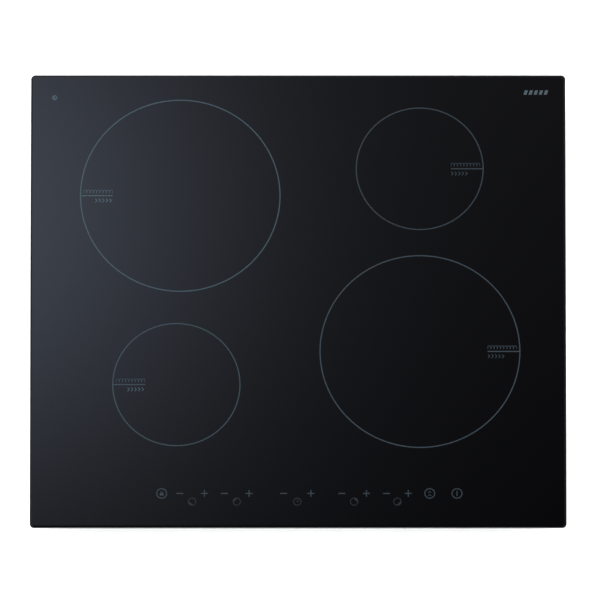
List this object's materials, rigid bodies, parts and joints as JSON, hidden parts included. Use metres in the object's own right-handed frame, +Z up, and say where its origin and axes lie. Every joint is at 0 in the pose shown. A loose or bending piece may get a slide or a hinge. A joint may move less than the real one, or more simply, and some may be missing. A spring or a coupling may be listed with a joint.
{
  "type": "induction cooktop",
  "caption": "Built-in electric induction cooktop: black ceramic glass with printed ring zones and touch keys over a vented steel tray.",
  "frame": {"origin": "centre of the plane where the cooktop rests on the worktop, the underside of the sealing tape", "axes": "+X to the user's right, +Y to the rear, +Z up; the touch keys are along the front edge at -Y"},
  "size_m": [0.59, 0.52, 0.0561],
  "materials": {
    "ceramic_glass": "polished black ceramic glass",
    "print_enamel": "screen-printed ceramic enamel, grey-blue",
    "seal_foam": "closed-cell foam tape",
    "silicone": "cured silicone adhesive",
    "galvanised_sheet": "galvanised steel sheet with a fine spangle",
    "zinc_screws": "bright zinc plating",
    "clamp_steel": "zinc-plated spring steel strip",
    "black_plastic": "moulded black plastic, fine texture",
    "grey_plastic": "moulded dark grey plastic, fine texture",
    "former_plastic": "glass-filled ivory plastic",
    "litz_copper": "twisted enamelled copper strands",
    "enamelled_copper": "wound enamelled copper wire",
    "ferrite": "sintered ferrite, dull dark grey",
    "mica": "pressed mica sheet with flakes",
    "sensor_ceramic": "ceramic sensor cap",
    "spring_steel": "bright drawn steel",
    "aluminium_sheet": "rolled aluminium sheet",
    "aluminium_extrusion": "extruded aluminium with draw lines",
    "circuit_board": "green solder mask over copper tracks",
    "epoxy_packages": "moulded epoxy",
    "film_yellow": "moulded yellow case",
    "impeller_plastic": "moulded dark plastic",
    "display_plastic": "smoked display window",
    "ceramic_block": "glazed ivory ceramic",
    "brass_screws": "turned brass",
    "gland_rubber": "moulded black rubber",
    "silicone_sleeve": "braided glass and silicone sleeve",
    "ribbon_vinyl": "ribbed grey vinyl",
    "wire_vinyl": "brown vinyl insulation"
  },
  "bodies": {
    "root": {"glass_top": "ceramic_glass", "zone_marks": "print_enamel", "control_marks": "print_enamel", "worktop_seal": "seal_foam", "glass_adhesive": "silicone", "glass_frame": "galvanised_sheet", "base_tray": "galvanised_sheet", "frame_screws": "zinc_screws", "fan_grilles": "black_plastic", "clamp_pivot_screws": "zinc_screws", "coil_former_rear_left": "former_plastic", "coil_former_rear_right": "former_plastic", "coil_former_front_left": "former_plastic", "coil_former_front_right": "former_plastic", "coil_winding_rear_left": "litz_copper", "coil_winding_rear_right": "litz_copper", "coil_winding_front_left": "litz_copper", "coil_winding_front_right": "litz_copper", "ferrite_bars_rear_left": "ferrite", "ferrite_bars_rear_right": "ferrite", "ferrite_bars_front_left": "ferrite", "ferrite_bars_front_right": "ferrite", "mica_discs": "mica", "temp_sensors": "sensor_ceramic", "coil_springs": "spring_steel", "coil_carrier_left": "aluminium_sheet", "coil_carrier_right": "aluminium_sheet", "carrier_posts": "zinc_screws", "inner_screws": "zinc_screws", "power_board_left": "circuit_board", "power_board_right": "circuit_board", "heatsink_left": "aluminium_extrusion", "heatsink_right": "aluminium_extrusion", "power_transistors": "epoxy_packages", "film_capacitors": "film_yellow", "power_chokes": "enamelled_copper", "filter_board": "circuit_board", "blower_housing_left": "black_plastic", "blower_housing_right": "black_plastic", "blower_stators": "enamelled_copper", "ui_tray": "black_plastic", "ui_board": "circuit_board", "touch_springs": "spring_steel", "digit_displays": "display_plastic", "terminal_box": "grey_plastic", "terminal_block": "ceramic_block", "terminal_screws": "brass_screws", "cable_gland": "gland_rubber", "coil_leads": "silicone_sleeve", "ribbon_cable": "ribbon_vinyl", "mains_wires": "wire_vinyl"},
    "blower_rotor_left": {"impeller_left": "impeller_plastic", "rotor_shaft_left": "spring_steel"},
    "blower_rotor_right": {"impeller_right": "impeller_plastic", "rotor_shaft_right": "spring_steel"},
    "clamp_front_left": {"clamp_front_left": "clamp_steel"},
    "clamp_front_right": {"clamp_front_right": "clamp_steel"},
    "clamp_rear_left": {"clamp_rear_left": "clamp_steel"},
    "clamp_rear_right": {"clamp_rear_right": "clamp_steel"},
    "terminal_cover": {"terminal_cover": "grey_plastic"}
  },
  "joints": [
    {"name": "blower_spin_left", "type": "hinge", "parent": "root", "child": "blower_rotor_left", "pos_m": [-0.15, 0.165, -0.035], "axis": [0, 0, 1], "continuous": true},
    {"name": "blower_spin_right", "type": "hinge", "parent": "root", "child": "blower_rotor_right", "pos_m": [0.15, 0.165, -0.035], "axis": [0, 0, 1], "continuous": true},
    {"name": "clamp_swing_front_left", "type": "hinge", "parent": "root", "child": "clamp_front_left", "pos_m": [-0.262, -0.15, -0.0433], "axis": [0, 0, 1], "range_deg": [0, 90]},
    {"name": "clamp_swing_front_right", "type": "hinge", "parent": "root", "child": "clamp_front_right", "pos_m": [0.262, -0.15, -0.0433], "axis": [0, 0, -1], "range_deg": [0, 90]},
    {"name": "clamp_swing_rear_left", "type": "hinge", "parent": "root", "child": "clamp_rear_left", "pos_m": [-0.262, 0.15, -0.0433], "axis": [0, 0, -1], "range_deg": [0, 90]},
    {"name": "clamp_swing_rear_right", "type": "hinge", "parent": "root", "child": "clamp_rear_right", "pos_m": [0.262, 0.15, -0.0433], "axis": [0, 0, 1], "range_deg": [0, 90]},
    {"name": "terminal_cover_hinge", "type": "hinge", "parent": "root", "child": "terminal_cover", "pos_m": [0, 0.24, -0.0447], "axis": [-1, 0, 0], "range_deg": [0, 90]}
  ]
}
